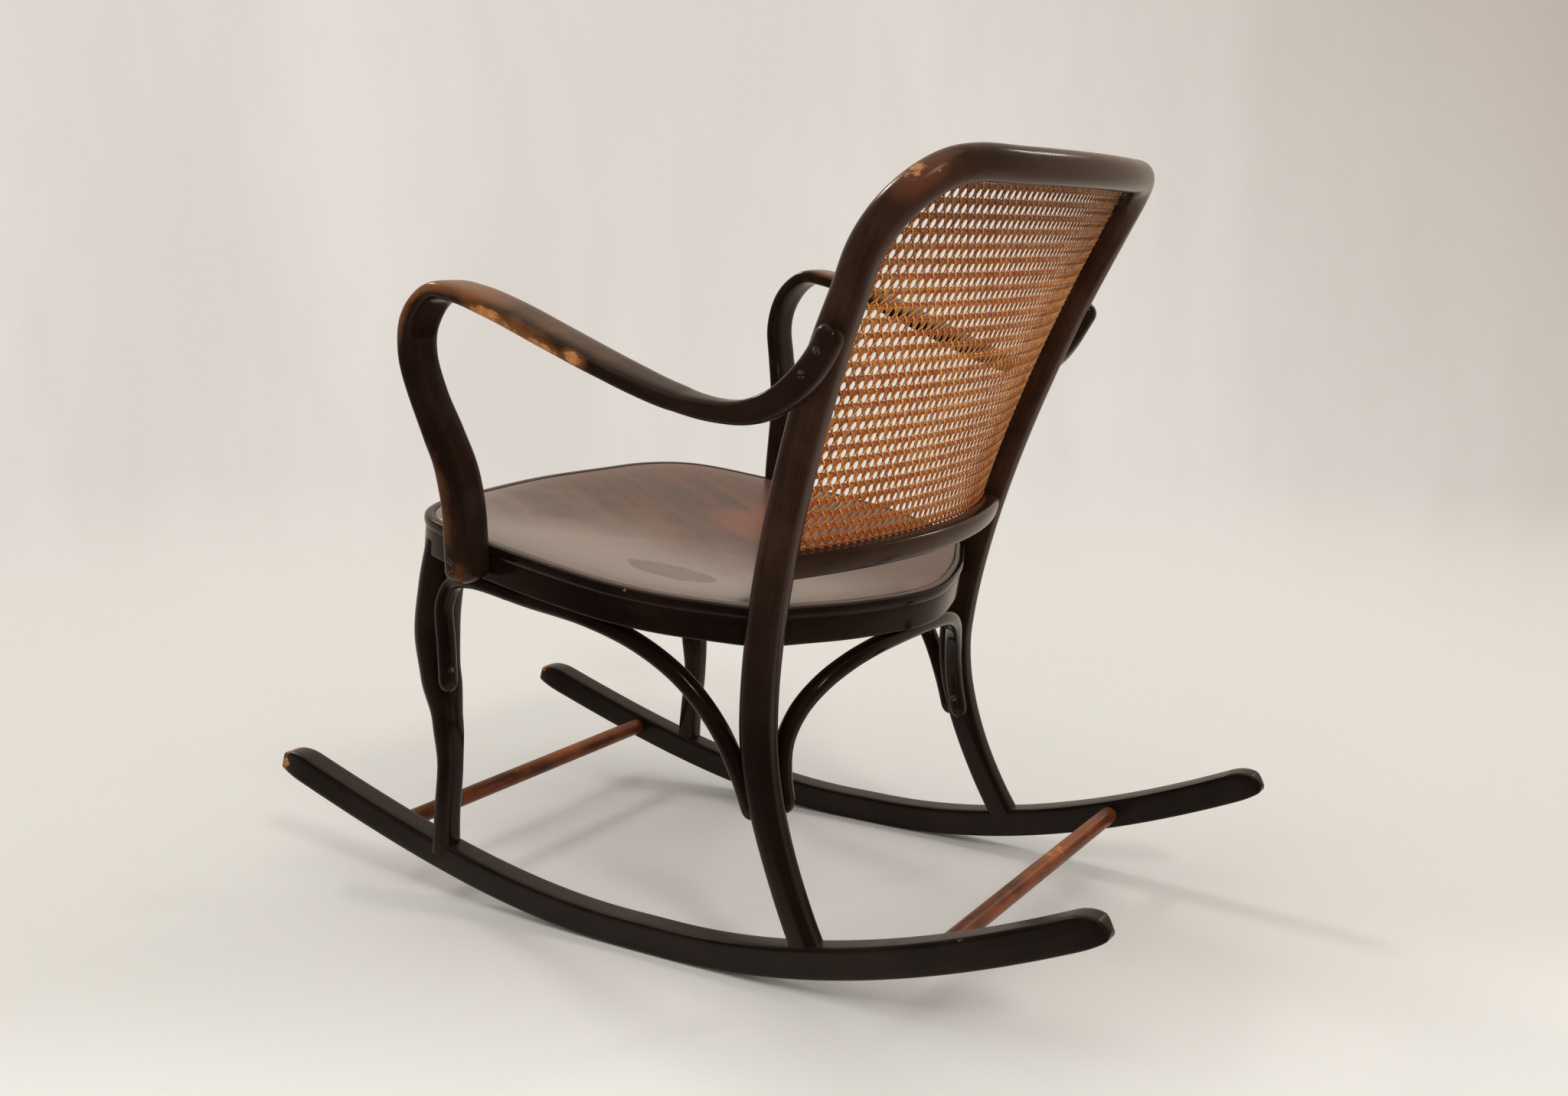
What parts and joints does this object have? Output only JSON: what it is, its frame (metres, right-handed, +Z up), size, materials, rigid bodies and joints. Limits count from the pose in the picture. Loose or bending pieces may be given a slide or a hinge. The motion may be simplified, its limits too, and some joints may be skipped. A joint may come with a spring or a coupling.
{
  "type": "rocking chair",
  "caption": "Bentwood rocking armchair with a round dished plywood seat, hooped back filled with woven cane, looping flat arms and bowed runners",
  "frame": {"origin": "On the floor under the middle of the bounding box, on the chair's mirror plane", "axes": "+X is the sitter's left side, +Y runs from the front edge of the seat to the back, +Z is up"},
  "size_m": [0.6286, 0.9464, 0.7341],
  "materials": {
    "dark_wood": "semi-gloss",
    "worn_wood": "satin",
    "seat_plywood": "semi-gloss",
    "cane": "satin",
    "screw_steel": "satin"
  },
  "bodies": {
    "root": {"left_rocker": "dark_wood", "right_rocker": "dark_wood", "front_stretcher": "worn_wood", "rear_stretcher": "worn_wood", "back_bow": "dark_wood", "left_front_leg": "dark_wood", "right_front_leg": "dark_wood", "seat_ring": "dark_wood", "seat_panel": "seat_plywood", "lower_back_rail": "dark_wood", "cane_panel": "cane", "left_arm": "dark_wood", "right_arm": "dark_wood", "left_brace": "dark_wood", "right_brace": "dark_wood", "rear_brace": "dark_wood", "left_arm_foot_screw_1": "screw_steel", "right_arm_foot_screw_1": "screw_steel", "left_arm_foot_screw_2": "screw_steel", "right_arm_foot_screw_2": "screw_steel", "left_arm_end_screw_1": "screw_steel", "right_arm_end_screw_1": "screw_steel", "left_arm_end_screw_2": "screw_steel", "right_arm_end_screw_2": "screw_steel", "left_brace_ring_screw": "screw_steel", "right_brace_ring_screw": "screw_steel", "left_brace_front_screw": "screw_steel", "right_brace_front_screw": "screw_steel", "left_brace_rear_screw": "screw_steel", "right_brace_rear_screw": "screw_steel", "left_rear_brace_screw": "screw_steel", "right_rear_brace_screw": "screw_steel", "rear_brace_ring_screw": "screw_steel", "left_seat_screw": "screw_steel", "right_seat_screw": "screw_steel"}
  },
  "joints": []
}
